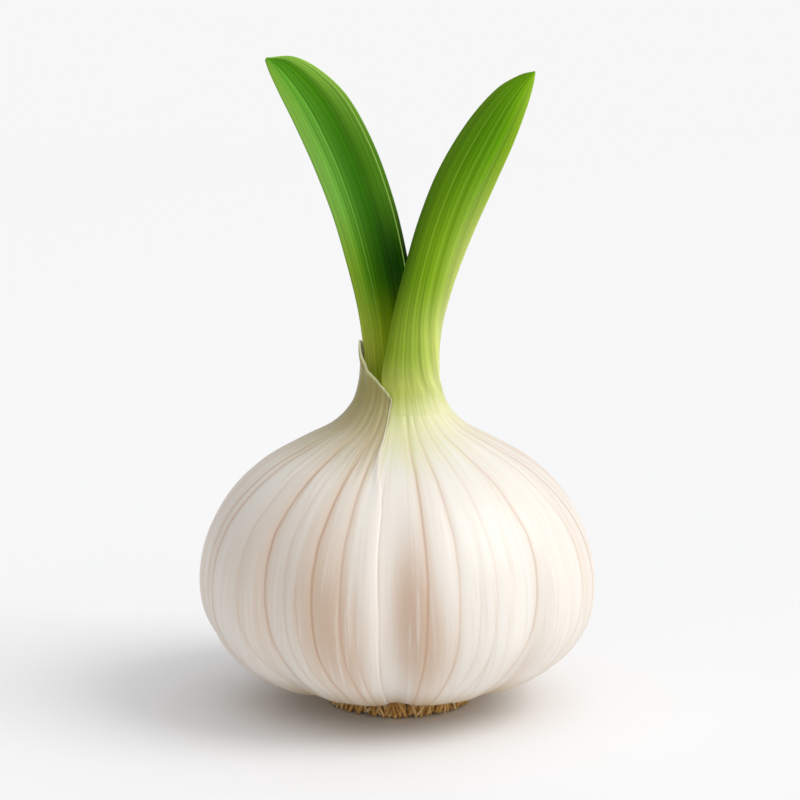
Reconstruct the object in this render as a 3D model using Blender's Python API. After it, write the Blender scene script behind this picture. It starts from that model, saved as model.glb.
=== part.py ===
"""Garlic bulb with two green leaves, a loose papery skin and trimmed roots.

Metres, +Z up. The origin is the middle of the flat underside of the root plate,
the front of the bulb looks along -Y, and angles run from the front towards +X.
"""

import math
import random

import bmesh
import bpy
from mathutils import Vector

MM = 0.001

# the gap kept between neighbouring pieces, and the distance at which points count as one
GAP = 0.3 * MM
MERGE_DISTANCE = 0.001 * MM
SHARP_ANGLE = math.radians(40)

# bulb: (radius, height) up its side, from the rim of the hollow underneath to the top of the neck
BULB_SIDE = (
    (12.2, 4.7), (14.2, 4.0), (17.8, 4.0), (22.4, 5.9), (27.0, 9.8), (29.5, 15.0), (29.8, 20.6),
    (28.4, 26.4), (25.1, 32.4), (20.5, 36.9), (14.9, 40.3), (10.1, 42.9), (7.2, 45.8), (6.1, 48.6),
)
BULB_FACES_ROUND = 64
BULB_STEPS = 27
HOLLOW_HEIGHT = 5.0 * MM
NECK_LEAN = 0.4 * MM
LEAN_FROM = 34.0 * MM
LEAN_TO = 48.0 * MM

# grooves between the cloves: (angle in degrees, depth), and how they fade upwards
CLOVE_GROOVES = (
    (-2, 1.5), (-38, 1.1), (-75, 0.9), (-112, 1.1), (-148, 0.9), (170, 1.2), (130, 0.9), (88, 0.8), (41, 0.9),
)
GROOVE_HALF_WIDTH = math.radians(8)
GROOVE_FADE_FROM = 12.0 * MM
GROOVE_FADE_TO = 42.0 * MM

# loose skin over the left half: its collar goes on above the bulb's neck, (radius, height)
SKIN_COLLAR = ((5.7, 52.0), (5.6, 57.0))
SKIN_THICKNESS = 0.3 * MM
SKIN_COLUMNS = 32
SKIN_ROWS = 22
SKIN_FOOT_SHARE = 0.08
SHARE_STEP = 0.01
HALVINGS = 20
# the hem that climbs the neck: (angle in degrees, height)
SKIN_HEM = ((-6, 47.4), (-28, 49.2), (-52, 51.6), (-80, 54.6), (-110, 55.8), (-145, 55.2), (-182, 53.2))

# leaves: matching points of the two margins from base to tip, and the half angle of the channel in degrees
LEFT_LEAF = {
    "left": (
        (-4.7, -0.9, 48.9), (-5.0, -0.4, 55.0), (-6.2, 0.4, 61.0), (-7.9, 0.9, 67.4), (-9.9, 1.3, 74.2),
        (-12.6, 1.9, 81.2), (-15.6, 2.6, 87.8), (-18.1, 3.3, 93.0), (-20.0, 4.0, 97.2),
    ),
    "right": (
        (2.6, 4.1, 48.9), (2.6, 4.2, 56.5), (2.0, 4.4, 62.8), (0.9, 4.6, 69.6), (-0.8, 4.8, 76.8),
        (-3.6, 5.0, 84.6), (-7.4, 5.2, 91.6), (-12.6, 5.0, 96.6), (-19.4, 4.4, 97.9),
    ),
    "channel": (60, 52, 44, 38, 34, 30, 28, 26, 20),
    "thickness": (1.5, 1.2, 1.0, 0.9, 0.8, 0.8, 0.7, 0.6, 0.4),
    "bulge_towards": Vector((-0.4, 1.0, 0.0)),
}
RIGHT_LEAF = {
    "left": (
        (-1.8, -5.2, 48.9), (-1.5, -4.4, 55.2), (-0.6, -3.6, 61.2), (1.0, -2.9, 67.4), (3.0, -2.4, 74.0),
        (5.9, -2.1, 81.2), (10.0, -2.0, 88.0), (14.6, -2.0, 93.0), (19.3, -2.0, 95.3),
    ),
    "right": (
        (5.9, 2.2, 48.9), (6.2, 1.2, 54.2), (7.0, 0.4, 59.4), (8.6, -0.4, 65.0), (11.1, -0.9, 71.6),
        (14.0, -1.2, 78.2), (17.0, -1.4, 85.0), (19.2, -1.6, 91.0), (20.0, -1.9, 94.9),
    ),
    "channel": (64, 58, 50, 42, 34, 28, 24, 20, 14),
    "thickness": (1.6, 1.3, 1.1, 1.0, 0.9, 0.8, 0.7, 0.6, 0.4),
    "bulge_towards": Vector((0.5, -1.0, 0.0)),
}
LEAF_SECTIONS = 26
LEAF_POINTS_ACROSS = 8
MARGIN_THINNING = 0.55

# root plate: (radius, height) up its side, from the edge of the flat underside to the top of its rim
PLATE_SIDE = (
    (6.8, 0.0), (7.0, 0.2), (7.0, 2.8), (7.5, 3.4), (10.8, 3.5), (11.4, 3.8), (11.4, 4.3), (11.0, 4.7),
)
PLATE_FACES_ROUND = 40

# trimmed roots: (how many, radius of the ring under the rim, radius of the ring at the cut)
ROOT_RINGS = ((26, 10.7, 10.2), (18, 8.6, 8.4))
ROOT_TOP = 3.2 * MM
ROOT_CUT = 0.1 * MM
ROOT_RADIUS_TOP = 0.55 * MM
ROOT_RADIUS_CUT = 0.4 * MM
ROOT_SIDES = 6
ROOT_SECTIONS = 4
ROOT_JITTER = 0.12 * MM
ROOT_ANGLE_JITTER = 0.12
ROOT_SEED = 7


def clear_scene():
    """Removes every object that the file starts with."""
    for thing in list(bpy.data.objects):
        bpy.data.objects.remove(thing, do_unlink=True)


def material(name, colour, roughness):
    """A Principled material with one colour and roughness, not metallic."""
    made = bpy.data.materials.new(name)
    made.use_nodes = True
    shader = made.node_tree.nodes["Principled BSDF"]
    shader.inputs["Base Color"].default_value = (*colour, 1.0)
    shader.inputs["Roughness"].default_value = roughness
    shader.inputs["Metallic"].default_value = 0.0
    made.diffuse_color = (*colour, 1.0)
    return made


def add_object(name, bm, look):
    """Turns a bmesh into a smooth-shaded object with its own material."""
    bmesh.ops.recalc_face_normals(bm, faces=bm.faces)
    mesh = bpy.data.meshes.new(name)
    bm.to_mesh(mesh)
    bm.free()
    mesh.shade_smooth()
    mesh.set_sharp_from_angle(angle=SHARP_ANGLE)
    mesh.materials.append(look)
    made = bpy.data.objects.new(name, mesh)
    bpy.context.collection.objects.link(made)
    return made


def curve_point(points, share):
    """A point on the smooth (Catmull-Rom) curve through the points, at a share of the way along."""
    last = len(points) - 1
    place = min(max(share, 0.0), 1.0) * last
    start = min(int(place), last - 1)
    t = place - start
    p1, p2 = points[start], points[start + 1]
    p0 = points[start - 1] if start > 0 else p1 * 2 - p2
    p3 = points[start + 2] if start + 2 <= last else p2 * 2 - p1
    bend = p0 * 2 - p1 * 5 + p2 * 4 - p3
    twist = p1 * 3 - p0 - p2 * 3 + p3
    return (p1 * 2 + (p2 - p0) * t + bend * t * t + twist * t * t * t) / 2


def smooth_step(value, low, high):
    """0 below low, 1 above high and an S curve between them."""
    share = min(max((value - low) / (high - low), 0.0), 1.0)
    return share * share * (3 - 2 * share)


def angle_between(a, b):
    """The difference of two angles in radians, between -pi and pi."""
    return (a - b + math.pi) % (2 * math.pi) - math.pi


def groove_depth(angle, height):
    """How deep the surface is drawn in between the cloves."""
    fade = 1 - smooth_step(height, GROOVE_FADE_FROM, GROOVE_FADE_TO)
    total = 0.0
    for degrees, depth in CLOVE_GROOVES:
        offset = angle_between(angle, math.radians(degrees)) / GROOVE_HALF_WIDTH
        total += depth * MM * math.exp(-offset * offset)
    return total * fade


def on_bulb(angle, radius, height):
    """The point of the bulb's surface at an angle, for a radius and height of its side."""
    reach = radius - groove_depth(angle, height)
    lean = NECK_LEAN * smooth_step(height, LEAN_FROM, LEAN_TO)
    return Vector((lean + reach * math.sin(angle), -reach * math.cos(angle), height))


def vectors(points):
    """Points in millimetres as vectors in metres, with zeros after their own numbers."""
    return [Vector((*point, 0.0)[:3]) * MM for point in points]


def turned_body(outline, faces_round):
    """Spins an outline of (radius, height) that starts and ends on the axis into a closed body."""
    bm = bmesh.new()
    verts = [bm.verts.new((radius, 0.0, height)) for radius, height in outline]
    edges = [bm.edges.new(pair) for pair in zip(verts, verts[1:])]
    bmesh.ops.spin(
        bm, geom=verts + edges, cent=(0, 0, 0), axis=(0, 0, 1), angle=2 * math.pi, steps=faces_round,
        use_merge=True,
    )
    bmesh.ops.remove_doubles(bm, verts=bm.verts, dist=MERGE_DISTANCE)
    return bm


def make_bulb():
    """The bulb: a spun body whose side is then drawn in between the cloves."""
    corners = vectors(BULB_SIDE)
    side = [curve_point(corners, i / BULB_STEPS) for i in range(BULB_STEPS + 1)]
    rim = side[0].x
    neck_top = side[-1].y
    outline = [(0.0, HOLLOW_HEIGHT), (rim, HOLLOW_HEIGHT)]
    outline += [(point.x, point.y) for point in side]
    outline += [(0.0, neck_top)]
    bm = turned_body(outline, BULB_FACES_ROUND)
    for vert in bm.verts:
        radius = vert.co.xy.length
        if radius > rim + GAP or vert.co.z > LEAN_FROM:
            vert.co = on_bulb(math.atan2(vert.co.x, -vert.co.y), radius, vert.co.z)
    return add_object("bulb", bm, material("white_bulb_skin", (0.86, 0.80, 0.72), 0.42))


def share_at_height(corners, height):
    """How far along the side's curve it reaches a height, found by halving above the belly."""
    low, high = 0.5, 1.0
    for _ in range(HALVINGS):
        middle = (low + high) / 2
        if curve_point(corners, middle).y < height:
            low = middle
        else:
            high = middle
    return low


def skin_column(corners, angle, top_share):
    """Points up the skin at one angle, held off the bulb's surface by the gap."""
    column = []
    for j in range(SKIN_ROWS + 1):
        share = SKIN_FOOT_SHARE + (top_share - SKIN_FOOT_SHARE) * j / SKIN_ROWS
        spot = curve_point(corners, share)
        ahead = curve_point(corners, share + SHARE_STEP) - curve_point(corners, share - SHARE_STEP)
        outward = Vector((ahead.y, -ahead.x)).normalized() * GAP
        column.append(on_bulb(angle, spot.x + outward.x, spot.y + outward.y))
    return column


def make_outer_skin():
    """The loose skin: a sheet just off the bulb from front to back, thickened outwards."""
    corners = vectors(BULB_SIDE + SKIN_COLLAR)
    hem = [Vector((math.radians(degrees), height * MM, 0.0)) for degrees, height in SKIN_HEM]
    bm = bmesh.new()
    columns = []
    for i in range(SKIN_COLUMNS + 1):
        angle, height, _ = curve_point(hem, i / SKIN_COLUMNS)
        points = skin_column(corners, angle, share_at_height(corners, height))
        columns.append([bm.verts.new(point) for point in points])
    for near, far in zip(columns, columns[1:]):
        for j in range(SKIN_ROWS):
            bm.faces.new((near[j], near[j + 1], far[j + 1], far[j]))
    made = add_object("outer_skin", bm, material("papery_outer_skin", (0.82, 0.74, 0.64), 0.5))
    wall = made.modifiers.new("thickness", "SOLIDIFY")
    wall.thickness = SKIN_THICKNESS
    wall.offset = 1.0
    wall.use_even_offset = True
    return made


def leaf_ring(left, right, along, channel, thickness, bulge_towards):
    """One closed section of a leaf: an arc from margin to margin, and back along its hollow side."""
    across = right - left
    bulge = along.cross(across).normalized()
    if bulge.dot(bulge_towards) < 0:
        bulge.negate()
    radius = across.length / 2 / math.sin(channel)
    middle = (left + right) / 2
    across.normalize()
    outer = []
    inner = []
    for i in range(LEAF_POINTS_ACROSS):
        u = 2 * i / (LEAF_POINTS_ACROSS - 1) - 1
        spoke = across * math.sin(channel * u) + bulge * math.cos(channel * u)
        wall = thickness * (1 - MARGIN_THINNING * u * u)
        centre = middle - bulge * radius * math.cos(channel)
        outer.append(centre + spoke * radius)
        inner.append(centre + spoke * (radius - wall))
    return outer + inner[::-1]


def loft(rings):
    """Bridges a row of closed rings into one body and caps its two ends."""
    bm = bmesh.new()
    loops = []
    for ring in rings:
        verts = [bm.verts.new(point) for point in ring]
        loops.append([bm.edges.new(pair) for pair in zip(verts, verts[1:] + verts[:1])])
    for low, high in zip(loops, loops[1:]):
        bmesh.ops.bridge_loops(bm, edges=low + high)
    bmesh.ops.edgenet_fill(bm, edges=loops[0])
    bmesh.ops.edgenet_fill(bm, edges=loops[-1])
    return bm


def make_leaf(name, leaf, look):
    """A channelled strap leaf, lofted through sections between its two margins."""
    shape = [Vector((math.radians(c), t * MM, 0)) for c, t in zip(leaf["channel"], leaf["thickness"])]
    shares = [i / (LEAF_SECTIONS - 1) for i in range(LEAF_SECTIONS)]
    left_margin = vectors(leaf["left"])
    right_margin = vectors(leaf["right"])
    lefts = [curve_point(left_margin, share) for share in shares]
    rights = [curve_point(right_margin, share) for share in shares]
    middles = [(left + right) / 2 for left, right in zip(lefts, rights)]
    rings = []
    for i, share in enumerate(shares):
        along = middles[min(i + 1, LEAF_SECTIONS - 1)] - middles[max(i - 1, 0)]
        if i == 0:
            along = Vector((0, 0, 1))
        channel, thickness, _ = curve_point(shape, share)
        rings.append(leaf_ring(lefts[i], rights[i], along, channel, thickness, leaf["bulge_towards"]))
    return add_object(name, loft(rings), look)


def make_root_plate():
    """The corky plate: a flat pad under a wider rim."""
    outline = [(radius * MM, height * MM) for radius, height in PLATE_SIDE]
    bm = turned_body([(0.0, outline[0][1])] + outline + [(0.0, outline[-1][1])], PLATE_FACES_ROUND)
    return add_object("root_plate", bm, material("corky_root_plate", (0.30, 0.19, 0.09), 0.9))


def make_root(number, angle, top_radius, cut_radius, look):
    """One trimmed root: a tapered stub that curves under the plate and is cut off level."""
    direction = Vector((math.sin(angle), -math.cos(angle), 0))
    rings = []
    for i in range(ROOT_SECTIONS):
        share = i / (ROOT_SECTIONS - 1)
        reach = top_radius + (cut_radius - top_radius) * share * share
        thickness = ROOT_RADIUS_TOP + (ROOT_RADIUS_CUT - ROOT_RADIUS_TOP) * share
        centre = direction * reach
        centre.z = ROOT_TOP + (ROOT_CUT - ROOT_TOP) * share
        turns = [2 * math.pi * k / ROOT_SIDES for k in range(ROOT_SIDES)]
        rings.append([centre + Vector((math.cos(a), math.sin(a), 0)) * thickness for a in turns])
    return add_object(f"root_{number:02d}", loft(rings), look)


def make_roots():
    """Two rings of trimmed roots under the rim of the plate."""
    look = material("dry_root", (0.33, 0.20, 0.08), 0.85)
    chance = random.Random(ROOT_SEED)
    number = 1
    for count, top_radius, cut_radius in ROOT_RINGS:
        for i in range(count):
            angle = 2 * math.pi * (i + chance.uniform(-ROOT_ANGLE_JITTER, ROOT_ANGLE_JITTER)) / count
            reach = cut_radius * MM + chance.uniform(-ROOT_JITTER, ROOT_JITTER)
            make_root(number, angle, top_radius * MM, reach, look)
            number += 1


def main():
    clear_scene()
    make_root_plate()
    make_roots()
    make_bulb()
    make_outer_skin()
    make_leaf("left_leaf", LEFT_LEAF, material("green_leaf", (0.07, 0.20, 0.02), 0.38))
    make_leaf("right_leaf", RIGHT_LEAF, material("young_green_leaf", (0.16, 0.32, 0.03), 0.38))


main()
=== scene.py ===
import math

import bpy
import numpy as np
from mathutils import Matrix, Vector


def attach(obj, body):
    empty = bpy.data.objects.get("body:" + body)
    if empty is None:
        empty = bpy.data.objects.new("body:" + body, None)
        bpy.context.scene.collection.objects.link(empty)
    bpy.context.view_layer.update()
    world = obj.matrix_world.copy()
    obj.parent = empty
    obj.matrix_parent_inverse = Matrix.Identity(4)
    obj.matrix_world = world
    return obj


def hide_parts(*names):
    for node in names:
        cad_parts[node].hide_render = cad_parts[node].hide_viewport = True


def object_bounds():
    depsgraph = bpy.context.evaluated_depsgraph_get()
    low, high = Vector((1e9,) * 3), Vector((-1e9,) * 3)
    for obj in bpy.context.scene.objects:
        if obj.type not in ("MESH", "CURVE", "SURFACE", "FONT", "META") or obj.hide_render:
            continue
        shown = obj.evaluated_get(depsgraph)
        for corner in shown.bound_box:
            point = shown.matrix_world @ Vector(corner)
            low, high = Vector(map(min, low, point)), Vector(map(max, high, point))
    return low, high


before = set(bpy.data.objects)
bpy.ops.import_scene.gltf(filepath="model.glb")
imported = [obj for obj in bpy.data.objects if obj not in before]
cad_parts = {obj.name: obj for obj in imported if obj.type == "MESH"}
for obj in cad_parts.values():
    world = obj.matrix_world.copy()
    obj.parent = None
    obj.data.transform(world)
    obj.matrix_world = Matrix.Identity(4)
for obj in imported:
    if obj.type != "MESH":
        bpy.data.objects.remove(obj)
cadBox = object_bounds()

mm = 0.001
smoothly = {"interpolation_type": "SMOOTHSTEP"}  # a range that eases in and out
print("frame loaded, nodes:", len(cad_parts))


# Helpers that the pieces share.


# A point on the Catmull-Rom curve through the points, for every share of the way along.
def smoothCurve(points, shares):
    points = np.asarray(points, float)
    last = len(points) - 1
    place = np.clip(shares, 0, 1) * last
    start = np.minimum(place.astype(int), last - 1)
    t = (place - start)[..., None]
    padded = np.vstack([2 * points[0] - points[1], points, 2 * points[-1] - points[-2]])
    p0, p1, p2, p3 = (padded[start + k] for k in range(4))
    bend = 2 * p0 - 5 * p1 + 4 * p2 - p3
    twist = 3 * p1 - p0 - 3 * p2 + p3
    return 0.5 * (2 * p1 + (p2 - p0) * t + bend * t**2 + twist * t**3)


# 0 below low, 1 above high and 3t^2 - 2t^3 between them.
def smoothStep(value, low, high):
    t = np.clip((value - low) / (high - low), 0, 1)
    return t * t * (3 - 2 * t)


# A bell: exp(-(distance / width)^2).
def bell(distance, width):
    return np.exp(-(distance / width) ** 2)


# The angle from a direction in degrees, counted the short way round: between -pi and pi.
def turnFrom(angles, direction):
    return (angles - math.radians(direction) + math.pi) % (2 * math.pi) - math.pi


# Unit vectors along the last axis: each divided by its length.
def unit(vectors):
    return vectors / np.linalg.norm(vectors, axis=-1, keepdims=True)


# Quads between the rows and columns of a grid of points, turned so that column x row points out.
def gridQuads(rows, columns, closed=False, first=0):
    row, column = np.mgrid[0:rows - 1, 0:columns if closed else columns - 1]
    onward = (column + 1) % columns
    corners = [row * columns + column, row * columns + onward, (row + 1) * columns + onward,
            (row + 1) * columns + column]
    return np.stack(corners, -1).reshape(-1, 4) + first


# Triangles that close a closed grid: its first row round one point and its last row round another, both
# numbered straight after the grid's own points.
def endFans(rows, columns):
    first = np.arange(columns)
    onward = (first + 1) % columns
    count = rows * columns
    last = count - columns
    return [np.stack([onward, first, np.full_like(first, count)], -1),
            np.stack([last + first, last + onward, np.full_like(first, count + 1)], -1)]


# A smooth mesh object from points in millimetres and arrays of faces. It rides on the part's only body.
def addPiece(name, points, faceSets, material):
    faces = sum((faceSet.tolist() for faceSet in faceSets), [])
    mesh = bpy.data.meshes.new(name)
    mesh.from_pydata((points * mm).tolist(), [], faces)
    mesh.shade_smooth()
    mesh.materials.append(material)
    piece = bpy.data.objects.new(name, mesh)
    bpy.context.collection.objects.link(piece)
    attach(piece, "root")
    return piece


# The number of the vertex at each face corner.
def cornerVertices(piece):
    corners = np.empty(len(piece.data.loops), np.int32)
    piece.data.loops.foreach_get("vertex_index", corners)
    return corners


# Stores three numbers for each face corner, in the order of the faces.
def addCornerData(piece, name, values):
    attribute = piece.data.attributes.new(name, "FLOAT_VECTOR", "CORNER")
    attribute.data.foreach_set("vector", np.asarray(values, np.float32).ravel())


# A UV map from one u and v for each vertex.
def addPlaces(piece, name, u, v):
    corners = cornerVertices(piece)
    places = piece.data.uv_layers.new(name=name)
    places.data.foreach_set("uv", np.stack([u[corners], v[corners]], -1).astype(np.float32).ravel())


# An sRGB hex colour as linear RGBA: c / 12.92 in the darkest part, ((c + 0.055) / 1.055) ^ 2.4 above it.
def linear(hexColour):
    channels = np.array([int(hexColour[k:k + 2], 16) for k in (1, 3, 5)]) / 255
    bright = ((channels + 0.055) / 1.055) ** 2.4
    return (*np.where(channels > 0.04045, bright, channels / 12.92).tolist(), 1.0)


# Adds a node: settings are its properties and input values, links join its inputs to nodes or outputs.
def addNode(tree, kind, settings={}, links={}):
    node = tree.nodes.new(kind)
    for name, value in settings.items():
        if name == "stops":
            ramp = node.color_ramp
            while len(ramp.elements) < len(value):
                ramp.elements.new(0.5)
            for stop, (place, colour) in zip(ramp.elements, value):
                stop.position = place
                stop.color = linear(colour) if isinstance(colour, str) else (colour, colour, colour, 1)
        elif isinstance(name, int) or name in node.inputs:
            node.inputs[name].default_value = linear(value) if isinstance(value, str) else value
        else:
            setattr(node, name, value)
    for name, source in links.items():
        tree.links.new(source.outputs[0] if hasattr(source, "outputs") else source, node.inputs[name])
    return node


# A new material with an empty tree, its Principled shader and its output.
def addMaterial(name, shaderSettings):
    material = bpy.data.materials.new(name)
    material.use_nodes = True
    tree = material.node_tree
    tree.nodes.clear()
    shader = addNode(tree, "ShaderNodeBsdfPrincipled", shaderSettings)
    addNode(tree, "ShaderNodeOutputMaterial", {}, {"Surface": shader.outputs["BSDF"]})
    return material, tree, shader


# Gives a shader its colour, a roughness that runs from smooth to rough as one pattern runs from 0 to 1, and a
# relief whose height is another pattern times a depth in metres.
def addFinish(tree, shader, colour, pattern, smooth, rough, relief, strength, depth):
    roughness = addNode(tree, "ShaderNodeMapRange", {"To Min": smooth, "To Max": rough}, {"Value": pattern})
    bump = addNode(tree, "ShaderNodeBump", {"Strength": strength, "Distance": depth}, {"Height": relief})
    for name, source in (("Base Color", colour), ("Roughness", roughness), ("Normal", bump)):
        tree.links.new(source.outputs[0], shader.inputs[name])


# Camera, light and floor: the lens in millimetres, places in metres and angles in degrees.
studio = {
    "lens": 85, "sensor": 36, "nearest": 0.01,
    "distance": 0.286, "elevation": 8, "aimHeight": 0.475, "aimSide": 0.0002,
    "keyAzimuth": 74, "keyElevation": 43, "keyStrength": 1.29, "keySpread": 38,
    "keyColour": (1.0, 0.99, 0.975),
    "shadeSide": 0.34, "brightSide": 1.0, "brightFrom": (0.85, -0.35, 0.4), "backdrop": "#f7f7f7",
    "floorReach": 4.0, "floorBehind": 32.0, "floorTones": [(0.3, "#f4f5f6"), (0.7, "#f5f5f7")],
}


# The camera looks from straight in front at a share of the part's height: it stands back by its distance
# times the cosine of its elevation, and up by its distance times the sine.
def makeCamera():
    camera = bpy.data.objects.new("studioCamera", bpy.data.cameras.new("studioCamera"))
    camera.data.lens = studio["lens"]
    camera.data.sensor_width = studio["sensor"]
    camera.data.clip_start = studio["nearest"]
    tilt = math.radians(studio["elevation"])
    height = cadBox[1][2] * studio["aimHeight"]
    camera.location = (studio["aimSide"], -studio["distance"] * math.cos(tilt),
            height + studio["distance"] * math.sin(tilt))
    camera.rotation_euler = (math.pi / 2 - tilt, 0, 0)
    bpy.context.collection.objects.link(camera)
    bpy.context.scene.camera = camera


# One broad key from the right and above, and a white surround that fills the shade. Its strength runs from
# shadeSide to brightSide with the dot product of direction and brightFrom. The camera sees a plain backdrop.
def makeLight():
    key = bpy.data.objects.new("keyLight", bpy.data.lights.new("keyLight", "SUN"))
    key.data.energy = studio["keyStrength"]
    key.data.angle = math.radians(studio["keySpread"])
    key.data.color = studio["keyColour"]
    key.rotation_euler = (math.radians(90 - studio["keyElevation"]), 0, math.radians(studio["keyAzimuth"]))
    bpy.context.collection.objects.link(key)
    world = bpy.data.worlds.new("whiteSurround")
    bpy.context.scene.world = world
    world.use_nodes = True
    tree = world.node_tree
    tree.nodes.clear()
    seen = addNode(tree, "ShaderNodeLightPath")
    around = addNode(tree, "ShaderNodeTexCoord")
    facing = addNode(tree, "ShaderNodeVectorMath", {"operation": "DOT_PRODUCT", 1: studio["brightFrom"]},
            {0: around.outputs["Generated"]})
    strength = addNode(tree, "ShaderNodeMapRange", {"From Min": -1.0, "To Min": studio["shadeSide"],
            "To Max": studio["brightSide"]}, {"Value": facing.outputs["Value"]})
    fill = addNode(tree, "ShaderNodeBackground", {"Color": "#ffffff"}, {"Strength": strength})
    back = addNode(tree, "ShaderNodeBackground", {"Color": studio["backdrop"], "Strength": 1.0})
    either = addNode(tree, "ShaderNodeMixShader", {}, {0: seen.outputs["Is Camera Ray"], 1: fill, 2: back})
    addNode(tree, "ShaderNodeOutputWorld", {}, {"Surface": either})


# A level rectangle of floor that reaches so far back that it meets the surround without an edge.
def makeFloor():
    reach, behind = studio["floorReach"], studio["floorBehind"]
    mesh = bpy.data.meshes.new("studioFloor")
    mesh.from_pydata([(-reach, -reach, 0), (reach, -reach, 0), (reach, behind, 0), (-reach, behind, 0)],
            [], [(0, 1, 2, 3)])
    floor = bpy.data.objects.new("studioFloor", mesh)
    bpy.context.collection.objects.link(floor)
    material, tree, shader = addMaterial("mattePaperSweep", {"Roughness": 0.9, "Specular IOR Level": 0.2})
    place = addNode(tree, "ShaderNodeTexCoord")
    grain = addNode(tree, "ShaderNodeTexNoise", {"Scale": 60, "Detail": 3}, {"Vector": place.outputs["Object"]})
    tone = addNode(tree, "ShaderNodeValToRGB", {"stops": studio["floorTones"]}, {"Fac": grain.outputs["Fac"]})
    tree.links.new(tone.outputs["Color"], shader.inputs["Base Color"])
    mesh.materials.append(material)


# The surface that the bulb, the loose skin and the base of the front leaf share, in millimetres and degrees.
bulb = {
    # radius and height up the side, from the rim of the hollow underneath to the collar round the leaves
    "side": [(12.2, 4.7), (14.4, 4.1), (18.0, 4.2), (22.4, 6.0), (26.9, 9.7), (29.7, 14.6), (30.2, 20.4),
             (28.8, 26.4), (25.5, 32.2), (20.8, 36.9), (15.1, 40.3), (10.2, 42.9), (7.35, 45.8), (6.2, 48.8),
             (5.8, 52.4), (5.7, 57.0)],
    "lean": 0.2, "leanFrom": 34.0, "leanTo": 48.0,
    # grooves between the cloves: angle, depth and half width in degrees
    "grooves": [(-1, 2.0, 6.5), (-39, 1.5, 7), (-75, 0.8, 8), (-112, 1.1, 8), (-148, 0.9, 8), (170, 1.2, 8),
                (130, 0.9, 8), (88, 0.8, 9), (40, 1.3, 7)],
    "grooveFadeFrom": 8.0, "grooveFadeTo": 42.0,
    # veins that show on the front: angle, strength, top, and the tone of the panel to the right, from 0 for
    # white to 1 for tan
    "veins": [(-66, 0.85, 60, 0.15), (-51, 0.4, 60, 0.5), (-41, 0.95, 60, 0.1), (-33, 0.4, 60, 0.15),
              (-29, 0.4, 26, 0.6), (-24, 0.85, 60, 0.55), (-16, 0.85, 60, 0.4), (-12, 0.45, 24, 0.1),
              (-6, 0.35, 39, 0.15), (8, 0.8, 60, 0.3), (17, 0.6, 60, 0.1), (23, 0.3, 26, 0.15),
              (28, 0.35, 60, 0.05), (43, 0.55, 60, 0.25), (54, 0.2, 30, 0.2), (64, 0.4, 60, 0.4)],
    # veins round the back: the ranges that their steps, strengths, tops and tones are drawn from, and the room
    # left before the first vein comes round again
    "veinSeed": 5, "backSteps": (5, 12), "backStrengths": (0.3, 0.95), "backTops": [25, 60, 60],
    "backTones": (0, 0.8), "backRoom": 14, "veinFade": 3,
    # how far the veins draw in towards the front: height and the share of the sine of their angle
    "drawIn": [(4, 0.29), (7.5, 0.24), (10, 0.17), (12, 0.12), (14, 0.085), (17, 0.05), (21, 0.02), (26, 0.0),
               (30, 0.0), (33, 0.03), (36, 0.06), (39, 0.09), (42, 0.14), (46, 0.17), (58, 0.17)],
    # tan patches, the skin's own tan plus painted shade in the clove valleys and down the left side: angle,
    # height, half width in degrees and millimetres, strength
    "tanAndShadePatches": [(3.8, 21, 7, 12, 0.8), (11, 14, 9, 9, 0.4), (-18, 19, 9, 11, 0.6), (-12, 12, 6, 8, 0.3),
                (-42, 24, 26, 15, 0.42), (-72, 22, 8, 14, 0.3), (70, 26, 10, 12, 0.2), (38, 10, 10, 5, 0.35)],
    "creaseDepth": 0.06, "creaseWidth": 0.65, "puff": 0.11, "puffWidth": 4,
    # up the neck the creases turn into deeper, narrower pleats with flatter panels between them
    "pleatDepth": 0.2, "pleatFrom": 37.0, "pleatTo": 44.0, "pleatNarrowing": 0.3, "pleatFlattening": 0.6,
    # slow waves: depth, how many round, how slowly they turn going up, and where each sine starts
    "waves": (0.12, 5, 9, 0.7, 1.1),
    "columns": 400, "rows": 200, "hollow": 5.0, "neckShare": 0.862, "neckDip": 1.5,
}


# Veins go on round the back at uneven steps, until they meet the first one again.
def allVeins():
    chance = np.random.default_rng(bulb["veinSeed"])
    veins = [list(vein) for vein in bulb["veins"]]
    while veins[-1][0] < veins[0][0] + 360 - bulb["backRoom"]:
        veins.append([veins[-1][0] + chance.uniform(*bulb["backSteps"]), chance.uniform(*bulb["backStrengths"]),
                chance.choice(bulb["backTops"]), chance.uniform(*bulb["backTones"])])
    veins.append([veins[0][0] + 360, *veins[0][1:]])
    return np.array(veins).T


veinAngles, veinStrengths, veinTops, panelTones = allVeins()
veinAngles = np.radians(veinAngles)


# The vein to the left of each angle, and the angle counted on from the first vein.
def veinPlace(angles):
    onward = veinAngles[0] + (angles - veinAngles[0]) % (2 * math.pi)
    return np.clip(np.searchsorted(veinAngles, onward, side="right") - 1, 0, len(veinAngles) - 2), onward


# How strongly a vein shows at a height: all of its strength up to its top, and then fading.
def veinShow(vein, height):
    top, fade = veinTops[vein], bulb["veinFade"]
    return veinStrengths[vein] * (1 - smoothStep(height, top - fade, top + fade))


# The share of its sine by which an angle is drawn in towards the front at a height.
def drawnIn(height):
    heights, shares = np.array(bulb["drawIn"]).T
    return np.interp(height, heights, shares)


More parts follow.
